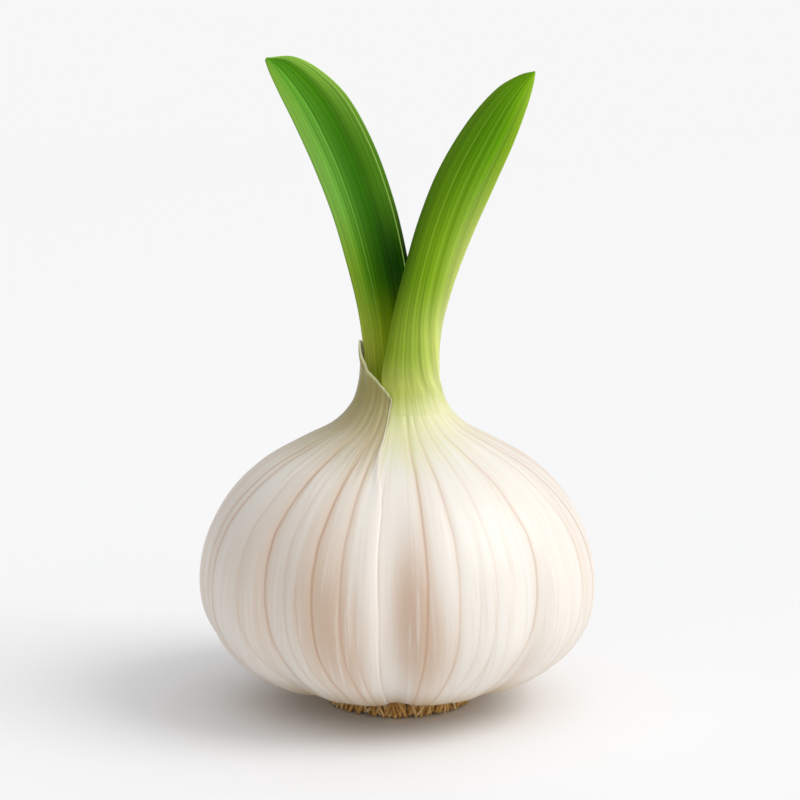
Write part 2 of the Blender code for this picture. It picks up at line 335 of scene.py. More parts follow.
# How far the skin is pressed in along the veins and puffed out between them: each vein takes its depth times
# exp(-(distance / width)^2), and each panel adds the puff times 1 - (2t - 1)^2, t running from vein to vein.
def creaseDepth(angles, radius, height):
    before, onward = veinPlace(angles)
    pleats = smoothStep(height, bulb["pleatFrom"], bulb["pleatTo"])
    width = bulb["creaseWidth"] * (1 - bulb["pleatNarrowing"] * pleats)
    depth = bulb["creaseDepth"] + (bulb["pleatDepth"] - bulb["creaseDepth"]) * pleats
    total = 0
    for vein in (before, before + 1):
        away = np.abs(onward - veinAngles[vein]) * radius
        total = total + depth * veinShow(vein, height) * bell(away, width)
    gap = veinAngles[before + 1] - veinAngles[before]
    t = (onward - veinAngles[before]) / gap
    room = np.clip(gap * radius / bulb["puffWidth"], 0, 1)
    return total - bulb["puff"] * (1 - (2 * t - 1) ** 2) * room * (1 - bulb["pleatFlattening"] * pleats)


# How far the clove grooves press in: depth times exp(-(angle / half width)^2), fading towards the neck.
def grooveDepth(angles, height):
    fade = 1 - smoothStep(height, bulb["grooveFadeFrom"], bulb["grooveFadeTo"])
    total = 0
    for angle, depth, halfWidth in bulb["grooves"]:
        total = total + depth * bell(turnFrom(angles, angle), math.radians(halfWidth))
    return total * fade


# The drawn-in angle and the radius of the bulb's skin at a vein angle and height, given the plain side's
# radius there: less the grooves and creases, plus slow waves of a sine round times a sine up.
def skinRadius(angles, radius, height):
    turned = angles - drawnIn(height) * np.sin(angles)
    depth, count, climb, startRound, startUp = bulb["waves"]
    waves = depth * np.sin(count * turned + startRound) * np.sin(height / climb + startUp)
    return turned, radius - grooveDepth(turned, height) - creaseDepth(angles, radius, height) + waves


# A point of the bulb: the side's radius and height at a share of the way up, lifted off it and drawn in
# by the grooves and creases, then turned to its vein angle, which runs from the front towards +X.
def bulbSurface(angles, shares, lift=0.0):
    side = smoothCurve(bulb["side"], shares)
    step = 0.002
    ahead = smoothCurve(bulb["side"], shares + step) - smoothCurve(bulb["side"], shares - step)
    outward = unit(np.stack([ahead[..., 1], -ahead[..., 0]], -1))
    radius = side[..., 0] + outward[..., 0] * lift
    height = side[..., 1] + outward[..., 1] * lift
    radius, height, angles = np.broadcast_arrays(radius, height, angles)
    turned, drawn = skinRadius(angles, radius, height)
    lean = bulb["lean"] * smoothStep(height, bulb["leanFrom"], bulb["leanTo"])
    return np.stack([lean + drawn * np.sin(turned), -drawn * np.cos(turned), height], -1)


# For each face corner: its distance to the vein on its left and right in millimetres and the strength of the tan
# patches there, which paint shade in the clove valleys and on the left, then the strengths of those two veins
# and the tone of the panel between them.
def addVeins(piece, corners, points, quads):
    height = points[quads][..., 2]
    radius = np.hypot(points[quads][..., 0], points[quads][..., 1])
    before, onward = veinPlace(corners.mean(1))
    before = before[:, None]
    place = onward[:, None] + corners - corners.mean(1)[:, None]
    turned = place - drawnIn(height) * np.sin(place)
    tanAndShadePatches = 0
    for angle, level, halfAngle, halfHeight, strength in bulb["tanAndShadePatches"]:
        across = bell(turnFrom(turned, angle), math.radians(halfAngle))
        tanAndShadePatches = tanAndShadePatches + strength * across * bell(height - level, halfHeight)
    gaps = np.stack([(place - veinAngles[before]) * radius, (veinAngles[before + 1] - place) * radius,
            tanAndShadePatches], -1)
    kinds = np.stack([veinShow(before, height), veinShow(before + 1, height),
            panelTones[before] + 0 * height], -1)
    extra = len(piece.data.loops) - quads.size
    bare = [50.0, 50.0, 0.0]  # the closing fans lie far from every vein and patch
    addCornerData(piece, "veinGap", np.vstack([gaps.reshape(-1, 3), np.tile(bare, (extra, 1))]))
    addCornerData(piece, "veinTone", np.vstack([kinds.reshape(-1, 3), np.zeros((extra, 3))]))


# Tones of the papery skin. The patch tone is its own tan, laid on where the patches also paint shade in the clove
# valleys and on the left.
garlicSkin = {
    "white": "#e9e4dc", "tan": "#dcc6b0", "streak": "#d8c6b2", "halo": "#dabca2", "vein": "#b48a6c",
    "tanAndShadeTone": "#c7a88d", "foot": "#b99a62", "neckGreen": "#a9b650", "neckPale": "#d9d9a4",
}
# The papery skin's pattern in millimetres: the radius that fibres are laid round, how slowly they change going
# up, cells of noise per millimetre, how far veins wander, the half widths of their line, halo and core, how
# far panels pale beside a vein, and how ragged the neck's green is and how much higher it ends on the right.
skinPattern = {
    "girth": 30.0, "climb": 0.045, "fine": 1.5, "broad": 0.3, "wander": 0.09, "wanderBy": 0.35,
    "veinWidths": (0.36, 1.3), "veinCore": 0.04, "veinDip": 0.8, "paleBeside": 1.6,
    "greenRagged": 9.0, "greenRaised": 3.0,
}


# Papery bulb skin: dead, dry scale leaf, whose parallel fibres and rose-tan veins run from root to neck.
# It gives the eye a satin white with long fine streaks, a green flush at the neck and a brown foot.
def garlicPattern(tree, tones):
    place = addNode(tree, "ShaderNodeTexCoord")
    inMm = addNode(tree, "ShaderNodeVectorMath", {"operation": "SCALE", "Scale": 1000.0},
            {0: place.outputs["Object"]})
    axes = addNode(tree, "ShaderNodeSeparateXYZ", {}, {0: inMm})
    height = axes.outputs["Z"]
    level = addNode(tree, "ShaderNodeCombineXYZ", {}, {"X": axes.outputs["X"], "Y": axes.outputs["Y"]})
    spoke = addNode(tree, "ShaderNodeVectorMath", {"operation": "NORMALIZE"}, {0: level})
    girth = addNode(tree, "ShaderNodeVectorMath", {"operation": "SCALE", "Scale": skinPattern["girth"]},
            {0: spoke})
    rise = addNode(tree, "ShaderNodeMath", {"operation": "MULTIPLY", 1: skinPattern["climb"]}, {0: height})
    lift = addNode(tree, "ShaderNodeCombineXYZ", {}, {"Z": rise})
    fibre = addNode(tree, "ShaderNodeVectorMath", {"operation": "ADD"}, {0: girth, 1: lift})
    fine = addNode(tree, "ShaderNodeTexNoise", {"Scale": skinPattern["fine"], "Detail": 4.0, "Roughness": 0.62},
            {"Vector": fibre})
    broad = addNode(tree, "ShaderNodeTexNoise", {"Scale": skinPattern["broad"], "Detail": 2.0},
            {"Vector": fibre})
    wander = addNode(tree, "ShaderNodeTexNoise", {"Scale": skinPattern["wander"], "Detail": 2.0},
            {"Vector": inMm})
    offset = addNode(tree, "ShaderNodeMapRange", {"To Min": -skinPattern["wanderBy"],
            "To Max": skinPattern["wanderBy"]}, {"Value": wander.outputs["Fac"]})
    gap = addNode(tree, "ShaderNodeAttribute", {"attribute_name": "veinGap"})
    gaps = addNode(tree, "ShaderNodeSeparateXYZ", {}, {0: gap.outputs["Vector"]})
    kind = addNode(tree, "ShaderNodeAttribute", {"attribute_name": "veinTone"})
    kinds = addNode(tree, "ShaderNodeSeparateXYZ", {}, {0: kind.outputs["Vector"]})

    # a thin line and a wide halo along the vein on each side
    shown = []
    for side, operation in (("X", "ADD"), ("Y", "SUBTRACT")):
        apart = addNode(tree, "ShaderNodeMath", {"operation": operation}, {0: gaps.outputs[side], 1: offset})
        away = addNode(tree, "ShaderNodeMath", {"operation": "ABSOLUTE"}, {0: apart})
        for width in skinPattern["veinWidths"]:
            near = addNode(tree, "ShaderNodeMapRange", {**smoothly, "From Min": width,
                    "From Max": skinPattern["veinCore"]}, {"Value": away})
            shown.append(addNode(tree, "ShaderNodeMath", {"operation": "MULTIPLY"},
                    {0: near, 1: kinds.outputs[side]}))
    line = addNode(tree, "ShaderNodeMath", {"operation": "MAXIMUM"}, {0: shown[0], 1: shown[2]})
    halo = addNode(tree, "ShaderNodeMath", {"operation": "MAXIMUM"}, {0: shown[1], 1: shown[3]})
    worn = addNode(tree, "ShaderNodeMapRange", {"From Min": 0.35, "From Max": 0.6, "To Min": 0.45},
            {"Value": broad.outputs["Fac"]})

    blotch = addNode(tree, "ShaderNodeMath", {"operation": "MULTIPLY_ADD", 1: 1.2, 2: -0.62},
            {0: broad.outputs["Fac"]})
    panel = addNode(tree, "ShaderNodeMath", {"operation": "MULTIPLY_ADD", 1: 0.75},
            {0: kinds.outputs["Z"], 2: blotch})
    nearest = addNode(tree, "ShaderNodeMath", {"operation": "MINIMUM"},
            {0: gaps.outputs["X"], 1: gaps.outputs["Y"]})
    edges = addNode(tree, "ShaderNodeMapRange", {"From Max": skinPattern["paleBeside"], "To Min": 0.6},
            {"Value": nearest})
    fibrous = addNode(tree, "ShaderNodeMath", {"operation": "MULTIPLY_ADD", 1: 0.7, 2: 0.5},
            {0: fine.outputs["Fac"]})

    # the green of the neck reaches down in ragged streaks, and ends higher up on the right
    aside = addNode(tree, "ShaderNodeSeparateXYZ", {}, {0: spoke}).outputs["X"]
    towardsRight = addNode(tree, "ShaderNodeMapRange", {"From Min": 0.1, "From Max": 0.85,
            "To Max": -skinPattern["greenRaised"]}, {"Value": aside})
    streaked = addNode(tree, "ShaderNodeMath", {"operation": "MULTIPLY_ADD", 1: skinPattern["greenRagged"],
            2: -skinPattern["greenRagged"] / 2}, {0: fine.outputs["Fac"]})
    shifted = addNode(tree, "ShaderNodeMath", {"operation": "ADD"}, {0: height, 1: towardsRight})
    ragged = addNode(tree, "ShaderNodeMath", {"operation": "ADD"}, {0: shifted, 1: streaked})

    # tones laid over the white one after another: what places them, from where to where, how strongly,
    # what else weakens them, and the tone
    layers = [
        (panel, 0.0, 0.9, 0.68, edges, "tan"),
        # the patches: the skin's own tan, and painted shade in the clove valleys and on the left side
        (gaps.outputs["Z"], 0.0, 1.0, 1.0, fibrous, "tanAndShadeTone"),
        (fine.outputs["Fac"], 0.5, 0.75, 0.45, None, "streak"),
        (fine.outputs["Fac"], 0.46, 0.3, 0.35, None, "white"),
        (halo, 0.0, 1.0, 0.4, None, "halo"),
        (line, 0.0, 0.9, 0.54, worn, "vein"),
        (height, 9.0, 3.8, 1.3, broad.outputs["Fac"], "foot"),
        (ragged, 36.5, 44.5, 0.95, None, "neckPale"),
        (ragged, 41.5, 49.5, 1.0, None, "neckGreen"),
    ]
    colour = addNode(tree, "ShaderNodeMixRGB", {"Fac": 0.0, "Color1": tones["white"]})
    for value, low, high, most, weight, tone in layers:
        mask = addNode(tree, "ShaderNodeMapRange", {**smoothly, "From Min": low,
                "From Max": high, "To Max": most}, {"Value": value})
        if weight:
            mask = addNode(tree, "ShaderNodeMath", {"operation": "MULTIPLY"}, {0: mask, 1: weight})
        colour = addNode(tree, "ShaderNodeMixRGB", {"Color2": tones[tone]}, {"Fac": mask, "Color1": colour})
    relief = addNode(tree, "ShaderNodeMath", {"operation": "MULTIPLY_ADD", 1: -skinPattern["veinDip"]},
            {0: line, 2: fine.outputs["Fac"]})
    return {"colour": colour, "relief": relief, "fibres": fine.outputs["Fac"], "height": height}


# The papery skin as a material. Each band along a rim paints light there: it is at full strength up to one place
# and gone at the next, measured on an axis of the sheet's UV map.
def garlicMaterial(name, tones, shaderSettings, bands=()):
    material, tree, shader = addMaterial(name, shaderSettings)
    pattern = garlicPattern(tree, tones)
    colour = pattern["colour"]
    for axis, full, gone, most, tone in bands:
        uv = addNode(tree, "ShaderNodeUVMap", {"uv_map": "skinPlace"})
        place = addNode(tree, "ShaderNodeSeparateXYZ", {}, {0: uv})
        band = addNode(tree, "ShaderNodeMapRange", {**smoothly, "From Min": gone,
                "From Max": full, "To Max": most}, {"Value": place.outputs[axis]})
        colour = addNode(tree, "ShaderNodeMixRGB", {"Color2": tone}, {"Fac": band, "Color1": colour})
    addFinish(tree, shader, colour, pattern["fibres"], 0.28, 0.46, pattern["relief"], 0.3, 0.00008)
    return material


# The bulb: columns round and rows up its surface, closed under the root plate and inside the neck.
def makeBulb(material):
    rows, columns = bulb["rows"], bulb["columns"]
    angles = np.linspace(0, 2 * math.pi, columns, endpoint=False)[None, :]
    shares = np.linspace(0, bulb["neckShare"], rows)[:, None]
    points = bulbSurface(angles, shares)
    quads = gridQuads(rows, columns, closed=True)
    ends = np.array([[0, 0, bulb["hollow"]], points[-1].mean(0) - (0, 0, bulb["neckDip"])])
    points = np.vstack([points.reshape(-1, 3), ends])
    piece = addPiece("garlicBulb", points, [quads, *endFans(rows, columns)], material)
    corners = np.broadcast_to(angles, (rows, columns)).ravel()[quads]
    corners = corners + 2 * math.pi * ((quads % columns == 0) & (quads[:, :1] % columns == columns - 1))
    addVeins(piece, corners, points, quads)
    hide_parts("bulb")
    print("bulb made:", len(piece.data.polygons), "faces")


# The loose outer skin, in millimetres and degrees.
looseSkin = {
    # the free edge down the front: vein angle at heights
    "frontEdge": [(4, -6.5), (8, -7), (14, -6), (20, -5.5), (27, -6), (34, -6), (36.5, -7), (38.5, -9.5),
                  (40.5, -12), (43, -13.5), (45.5, -14), (48, -11.5)],
    "backEdge": -205,
    # the hem round the neck: vein angle and height
    "hem": [(-9, 46.9), (-16, 48.0), (-28, 49.2), (-44, 50.5), (-60, 51.6), (-72, 52.8), (-80, 54.0),
            (-88, 55.2), (-96, 55.7), (-108, 55.3), (-126, 54.0), (-160, 52.8), (-205, 52.3)],
    # how far the outer and inner sheets stand off the bulb, and how much further they do at the neck
    "lift": 0.14, "lowEdgeLift": 0.08, "inside": 0.04, "neckLift": 0.12, "neckFrom": 43.0, "neckTo": 47.0,
    "hemRoll": 0.16, "hemRollReach": 0.8, "edgeRoll": 0.06, "edgeRollReach": 0.7,
    # a tab under the hem on the left that stands off the neck
    "tabFlare": 0.34, "tabAngle": -90, "tabHalfAngle": 30, "tabReach": 1.5,
    # a ridge beside the free edge up the neck, with its half width and furthest angle in radians
    "ridge": 0.11, "ridgeFrom": 34.0, "ridgeTo": 38.0, "ridgeWidth": 0.03, "ridgeFurthest": -0.3,
    "footShare": 0.05, "sideLength": 95, "girth": 30, "crowding": 1.15, "columns": 220, "rows": 210,
    # the neck tones are darker than the bulb's: partly the green sheath seen through the thin skin, partly
    # painted shade on the left side
    "tones": {"neckGreen": "#989054", "neckPale": "#b2a67a"},
    # pale bands along the rims, all painted light: a painted highlight down the free edge, and light painted in
    # where it shines through the thin hem. Each gives axis, where full, where gone, strength and tone. X is the
    # share of the way round from the free edge, and Y is centimetres from the hem
    "bands": [("X", 0.003, 0.012, 0.6, "#f4f0e8"), ("Y", 0.04, 0.12, 0.6, "#cdcf98"),
              ("Y", 0.01, 0.03, 0.6, "#e4e4b4")],
}


# The loose skin: an outer and an inner sheet just off the bulb, joined along the hem, the foot and both
# edges. The outer lift is a base plus bells: a roll at the hem and the free edge, the tab and the ridge.
def makeLooseSkin(material):
    skin = looseSkin
    rows, columns = skin["rows"], skin["columns"]
    up = np.linspace(0, 1, rows)[:, None]
    across = np.linspace(0, 1, columns)[None, :]
    dense = np.linspace(0.2, 1, 600)  # shares of the bulb's side at which heights are looked up
    heightAt = smoothCurve(bulb["side"], dense)[:, 1]
    edgeHeights, edgeAngles = np.array(skin["frontEdge"]).T
    hemAngles, hemHeights = np.array(skin["hem"]).T
    front = np.radians(np.interp(np.interp(up, dense, heightAt), edgeHeights, edgeAngles))
    back = math.radians(skin["backEdge"])
    for turn in range(3):  # the hem's height sets each row's height, which sets the front edge
        angles = front + (back - front) * across**skin["crowding"]
        hem = np.interp(-np.degrees(angles[-1]), -hemAngles, hemHeights)
        hemShares = np.interp(hem, heightAt, dense)[None, :]
        shares = skin["footShare"] + (hemShares - skin["footShare"]) * up
        height = np.interp(shares, dense, heightAt)
        front = np.radians(np.interp(height[:, :1], edgeHeights, edgeAngles))
    fromHem = (hemShares - shares) * skin["sideLength"]
    hemRoll = skin["hemRoll"] * bell(fromHem, skin["hemRollReach"])
    onTab = bell(np.degrees(angles) - skin["tabAngle"], skin["tabHalfAngle"])
    flare = skin["tabFlare"] * onTab * bell(fromHem - skin["tabReach"], skin["tabReach"])
    neck = skin["neckLift"] * smoothStep(height, skin["neckFrom"], skin["neckTo"])
    high = smoothStep(height, skin["ridgeFrom"], skin["ridgeTo"])
    byEdge = bell((angles - front) * skin["girth"], skin["edgeRollReach"])
    edgeRoll = byEdge * (skin["edgeRoll"] * high - (skin["lift"] - skin["lowEdgeLift"]) * (1 - high))
    besideEdge = angles - np.maximum(front, skin["ridgeFurthest"]) + skin["ridgeWidth"]
    ridge = skin["ridge"] * high * bell(besideEdge, skin["ridgeWidth"])
    outer = bulbSurface(angles, shares, skin["lift"] + neck + hemRoll + flare + edgeRoll + ridge)
    inner = bulbSurface(angles, shares, skin["inside"] + neck + flare)
    points = np.vstack([outer.reshape(-1, 3), inner.reshape(-1, 3)])
    count = rows * columns
    number = np.arange(count).reshape(rows, columns)
    rims = []  # each runs the other way round than the outer sheet's edge, so that it faces out
    for line in (number[0], number[-1, ::-1], number[:, -1], number[::-1, 0]):
        rims.append(np.stack([line[:-1], line[1:], line[1:] + count, line[:-1] + count], -1))
    quads = np.vstack([gridQuads(rows, columns)[:, ::-1], gridQuads(rows, columns, first=count), *rims])
    piece = addPiece("looseSkin", points, [quads], material)
    addVeins(piece, np.tile(angles.ravel(), 2)[quads], points, quads)
    addPlaces(piece, "skinPlace", np.tile(np.broadcast_to(across, shares.shape).ravel(), 2),
            np.tile(fromHem.ravel() / 10, 2))
    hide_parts("outer_skin")
    print("loose skin made:", len(piece.data.polygons), "faces")


# The two leaves: millimetres, degrees, and shares of their length or width.
darkLeaf = {
    # matching points of the two margins from base to tip, the half angle of the channel and the thickness
    "left": [(-4.6, -1.4, 46.5), (-5.0, -1.0, 50.5), (-5.4, -0.4, 55.4), (-6.3, 0.4, 61.0), (-7.9, 0.9, 67.4),
             (-9.9, 1.3, 74.2), (-12.6, 1.9, 81.2), (-15.6, 2.6, 87.8), (-17.9, 3.2, 92.4), (-19.4, 3.7, 95.6),
             (-20.05, 4.0, 97.3)],
    "right": [(2.8, 4.2, 46.5), (2.8, 4.2, 51.5), (2.7, 4.2, 57.0), (2.1, 4.4, 63.0), (1.0, 4.6, 69.6),
              (-0.8, 4.8, 76.8), (-3.6, 5.0, 84.6), (-7.3, 5.2, 91.5), (-11.3, 5.1, 95.6), (-15.6, 4.8, 97.9),
              (-19.8, 4.2, 97.75)],
    "channel": [60, 56, 52, 44, 40, 38, 36, 36, 34, 30, 20],
    "thickness": [1.5, 1.4, 1.2, 1.0, 0.9, 0.8, 0.8, 0.7, 0.6, 0.5, 0.3],
    "bulge": (-0.4, 1.0, 0.0), "uprightTo": 0.3,
    # creases along the blade: place across, depth and width
    "creases": [(0.36, 0.28, 0.05), (0.93, 0.16, 0.03)],
    "ribs": 15, "ribHeight": 0.03, "rows": 360, "across": 60,
}
paleLeaf = {
    "left": [(-2.9, -7.7, 44.2), (-2.7, -6.3, 46.5), (-2.7, -5.7, 48.9), (-2.55, -5.4, 51.5), (-1.85, -4.8, 55.1),
             (-0.7, -3.9, 60.6), (1.0, -3.1, 67.2), (3.0, -2.5, 74.0), (5.9, -2.1, 81.2), (10.0, -2.0, 88.0),
             (14.2, -2.0, 92.8), (17.6, -2.0, 94.9), (20.0, -2.0, 95.55)],
    "right": [(-0.4, 8.3, 44.2), (1.5, 6.6, 46.4), (3.2, 5.4, 48.8), (4.9, 3.9, 51.4), (6.0, 2.3, 54.8),
              (7.0, 0.6, 59.4), (8.6, -0.3, 65.0), (11.1, -0.8, 71.6), (14.0, -1.2, 78.2), (17.0, -1.4, 85.0),
              (18.9, -1.6, 90.2), (19.8, -1.8, 93.4), (20.1, -1.95, 95.3)],
    "channel": [102, 93, 85, 76, 64, 52, 43, 36, 32, 28, 24, 20, 14],
    "thickness": [1.6, 1.6, 1.6, 1.5, 1.3, 1.1, 1.0, 0.9, 0.8, 0.7, 0.6, 0.5, 0.3],
    "bulge": (0.5, -1.0, 0.0), "uprightTo": 0.45,
    "creases": [(0.72, 0.10, 0.06)],
    "ribs": 19, "ribHeight": 0.035, "rows": 380, "across": 72,
    # the heights up to which it lies on the neck and from which it stands free, and how its base sinks in
    "wrapTo": 48.5, "wrapFrom": 53.0, "wrapGap": 0.06, "rootedAt": 44.2, "rootedTo": 45.5,
    "rootedDepth": 0.4,
}
# What both leaves share: where the blade starts to rise, where its creases open and where its tip closes, how
# much thinner it is at the margins, and how its ribs wander.
leafForm = {
    "riseFrom": 0.1, "openFrom": 0.12, "openTo": 0.4, "tipFrom": 0.9, "marginThinning": 0.8,
    "ribWander": 2, "ribWaves": 5,
}


# Lays points against the neck: below the height wrapTo their distance from the axis becomes the bulb skin's
# radius plus a small gap, they leave it again up to wrapFrom, and the lowest ones sink under the skin.
def wrapNeck(points, leaf):
    height = points[..., 2]
    across, away = points[..., 0] - bulb["lean"], -points[..., 1]
    turned = np.arctan2(across, away)
    angles = turned + drawnIn(height) * np.sin(turned + drawnIn(height) * np.sin(turned))
    side = smoothCurve(bulb["side"], np.linspace(0.5, 1, 400))  # the upper half, where heights only rise
    skin = skinRadius(angles, np.interp(height, side[:, 1], side[:, 0]), height)[1]
    sink = leaf["rootedDepth"] * (1 - smoothStep(height, leaf["rootedAt"], leaf["rootedTo"]))
    hold = 1 - smoothStep(height, leaf["wrapTo"], leaf["wrapFrom"])
    radius = np.hypot(across, away)
    radius = radius + (skin + leaf["wrapGap"] - sink - radius) * hold
    return np.stack([bulb["lean"] + radius * np.sin(turned), -radius * np.cos(turned), height], -1)


# A leaf: at each row an arc of the channel's half angle runs from one margin to the other, bulging to its
# back. Creases and fine ribs move it along the arc's spokes, and the inner side lies one wall inside.
def makeLeaf(name, leaf, material, node):
    rows, across = leaf["rows"], leaf["across"]
    shares = np.linspace(0, 1, rows)
    left, right = smoothCurve(leaf["left"], shares), smoothCurve(leaf["right"], shares)
    shape = smoothCurve(np.stack([leaf["channel"], leaf["thickness"]], -1), shares)
    channel, thickness = np.radians(shape[:, :1]), shape[:, 1:]
    middle = (left + right) / 2
    rising = smoothStep(shares, leafForm["riseFrom"], leaf["uprightTo"])[:, None]
    along = unit(unit(np.gradient(middle, axis=0)) * rising + np.array([0, 0, 1.0]) * (1 - rising))
    bulge = unit(np.cross(along, right - left))
    bulge = bulge * np.sign((bulge * leaf["bulge"]).sum(1, keepdims=True))
    radius = np.linalg.norm(right - left, axis=1, keepdims=True) / 2 / np.sin(channel)
    centre = middle - bulge * radius * np.cos(channel)
    place = np.linspace(0, 1, across)
    u = 2 * place - 1
    spoke = (unit(right - left)[:, None] * np.sin(channel * u)[..., None]
            + bulge[:, None] * np.cos(channel * u)[..., None])
    tip = 1 - smoothStep(shares, leafForm["tipFrom"], 1.0)[:, None]
    opening = smoothStep(shares, leafForm["openFrom"], leafForm["openTo"])[:, None]
    fold = sum(depth * bell(place - at, width) for at, depth, width in leaf["creases"])
    wander = leafForm["ribWander"] * np.sin(leafForm["ribWaves"] * place)
    ribs = leaf["ribHeight"] * np.cos(2 * math.pi * leaf["ribs"] * place + wander)
    reach = radius + (fold * opening + ribs) * tip
    wall = thickness * (1 - leafForm["marginThinning"] * u**4)
    outer = centre[:, None] + spoke * reach[..., None]
    if "wrapTo" in leaf:
        outer = wrapNeck(outer, leaf)
    inner = outer - spoke * wall[..., None]
    ring = np.concatenate([outer, inner[:, ::-1]], 1)
    size = ring.shape[1]
    faces = [gridQuads(rows, size, closed=True), *endFans(rows, size)]
    half = rows // 2
    turn = np.cross(ring[half, 1] - ring[half, 0], along[half])
    if (turn * (ring[half, 0] - centre[half])).sum() < 0:  # they would face inwards
        faces = [faceSet[:, ::-1] for faceSet in faces]
    ends = np.stack([ring[0].mean(0), ring[-1].mean(0)])
    piece = addPiece(name, np.vstack([ring.reshape(-1, 3), ends]), faces, material)
    addPlaces(piece, "leafPlace", np.append(np.tile(np.concatenate([place, place[::-1]]), rows), [0.5, 0.5]),
            np.append(np.repeat(shares, size), [0, 1]))
    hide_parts(node)
    print(name, "made:", len(piece.data.polygons), "faces")


# Living leaf: waxy green blade with parallel veins. It gives the eye a satin green, lighter along the
# veins and yellower where light comes through near the base.
def leafMaterial(name, leaf, shaderSettings, baseTones=None):
    material, tree, shader = addMaterial(name, shaderSettings)
    uv = addNode(tree, "ShaderNodeUVMap", {"uv_map": "leafPlace"})
    axes = addNode(tree, "ShaderNodeSeparateXYZ", {}, {0: uv})
    across, along = axes.outputs["X"], axes.outputs["Y"]
    colour, below = None, 0
    for level, tones in leaf["tones"]:
        ramp = addNode(tree, "ShaderNodeValToRGB", {"stops": tones}, {"Fac": across})
        if colour:
            mask = addNode(tree, "ShaderNodeMapRange", {**smoothly, "From Min": below,
                    "From Max": level}, {"Value": along})
            ramp = addNode(tree, "ShaderNodeMixRGB", {}, {"Fac": mask, "Color1": colour, "Color2": ramp})
        colour, below = ramp, level
    stretch = addNode(tree, "ShaderNodeVectorMath", {"operation": "MULTIPLY", 1: (1.0, 0.05, 0.0)}, {0: uv})
    stripes = addNode(tree, "ShaderNodeTexNoise", {"Scale": leaf["stripeScale"], "Detail": 3.0,
            "Roughness": 0.6}, {"Vector": stretch})
    bands = addNode(tree, "ShaderNodeTexNoise", {"Scale": leaf["bandScale"], "Detail": 1.0},
            {"Vector": stretch})
    for noise, low, high in ((bands, *leaf["bandRange"]), (stripes, *leaf["stripeRange"])):
        shade = addNode(tree, "ShaderNodeMapRange", {"From Min": 0.32, "From Max": 0.68, "To Min": low,
                "To Max": high}, {"Value": noise.outputs["Fac"]})
        colour = addNode(tree, "ShaderNodeVectorMath", {"operation": "SCALE"}, {0: colour, "Scale": shade})
    for at, width, strength, tone in leaf["lines"]:
        apart = addNode(tree, "ShaderNodeMath", {"operation": "SUBTRACT", 1: at}, {0: across})
        away = addNode(tree, "ShaderNodeMath", {"operation": "ABSOLUTE"}, {0: apart})
        mask = addNode(tree, "ShaderNodeMapRange", {**smoothly, "From Min": width,
                "From Max": width * 0.2, "To Max": strength}, {"Value": away})
        colour = addNode(tree, "ShaderNodeMixRGB", {"Color2": tone}, {"Fac": mask, "Color1": colour})
    if baseTones:
        base = garlicPattern(tree, baseTones)
        streaky = addNode(tree, "ShaderNodeMath", {"operation": "MULTIPLY_ADD", 1: leaf["baseRagged"]},
                {0: stripes.outputs["Fac"], 2: base["height"]})
        mask = addNode(tree, "ShaderNodeMapRange", {"interpolation_type": "SMOOTHSTEP",
                "From Min": leaf["baseGone"], "From Max": leaf["baseFull"]}, {"Value": streaky})
        colour = addNode(tree, "ShaderNodeMixRGB", {},
                {"Fac": mask, "Color1": colour, "Color2": base["colour"]})
    stripe = stripes.outputs["Fac"]
    addFinish(tree, shader, colour, stripe, 0.34, 0.5, stripe, 0.35, 0.00006)
    return material


# tones across the blade from left to right margin, at places from base to tip
# The dark leaf's tones are lighter along its left part, where a sheen is painted in, and darker towards its right
# margin low on the blade, painted shade cast by the pale leaf in front.
darkBlade = {
    "tones": [
        (0.13, [(0.0, "#bcc650"), (0.3, "#b0c02c"), (0.62, "#7c9808"), (1.0, "#2c5000")]),
        (0.36, [(0.0, "#80a22a"), (0.3, "#4c8202"), (0.6, "#1e4e00"), (1.0, "#0e3000")]),
        (0.55, [(0.0, "#78a844"), (0.3, "#58962a"), (0.58, "#2c6a00"), (1.0, "#588a1c")]),
        (0.88, [(0.0, "#80ac3c"), (0.3, "#5ca024"), (0.65, "#468604"), (1.0, "#9cca50")]),
    ],
    "stripeScale": 30.0, "stripeRange": (0.74, 1.2), "bandScale": 9.0, "bandRange": (0.9, 1.08),
    # lines along the blade: place across, half width, strength and tone
    "lines": [(0.36, 0.012, 0.45, "#94c454"), (0.16, 0.008, 0.2, "#94c454"), (0.27, 0.012, 0.25, "#2c6406"),
              (0.44, 0.014, 0.4, "#245a02"), (0.6, 0.008, 0.2, "#6ca828"), (0.7, 0.012, 0.3, "#1c4c00"),
              (0.9, 0.02, 0.4, "#245600"), (0.945, 0.014, 0.75, "#a8d264")],
}
paleBlade = {
    "tones": [
        (0.17, [(0.0, "#a8b24c"), (0.4, "#c4cc74"), (0.7, "#dfe0a4"), (1.0, "#eeebd0")]),
        (0.34, [(0.0, "#76901a"), (0.35, "#96b03c"), (0.65, "#c2cf6c"), (1.0, "#e8eca8")]),
        (0.5, [(0.0, "#40640a"), (0.3, "#70980e"), (0.6, "#86ac22"), (1.0, "#c8d674")]),
        (0.75, [(0.0, "#587e14"), (0.35, "#4e8200"), (0.7, "#609a04"), (1.0, "#90b428")]),
        (0.97, [(0.0, "#6c9c18"), (0.35, "#629a02"), (0.7, "#88bc18"), (1.0, "#a4d03c")]),
    ],
    "stripeScale": 17.0, "stripeRange": (0.76, 1.14), "bandScale": 8.0, "bandRange": (0.9, 1.08),
    # heights at which the bulb's own skin has given way to green and at which it is whole, and how ragged
    "baseGone": 55.0, "baseFull": 50.0, "baseRagged": 8.0,
    "lines": [(0.3, 0.008, 0.3, "#b4d25c"), (0.5, 0.008, 0.32, "#b4d25c"), (0.62, 0.007, 0.28, "#b4d25c"),
              (0.78, 0.008, 0.35, "#bcd868"), (0.22, 0.016, 0.25, "#44700a"), (0.4, 0.018, 0.22, "#4c7c08"),
              (0.56, 0.016, 0.2, "#4c7c08")],
}


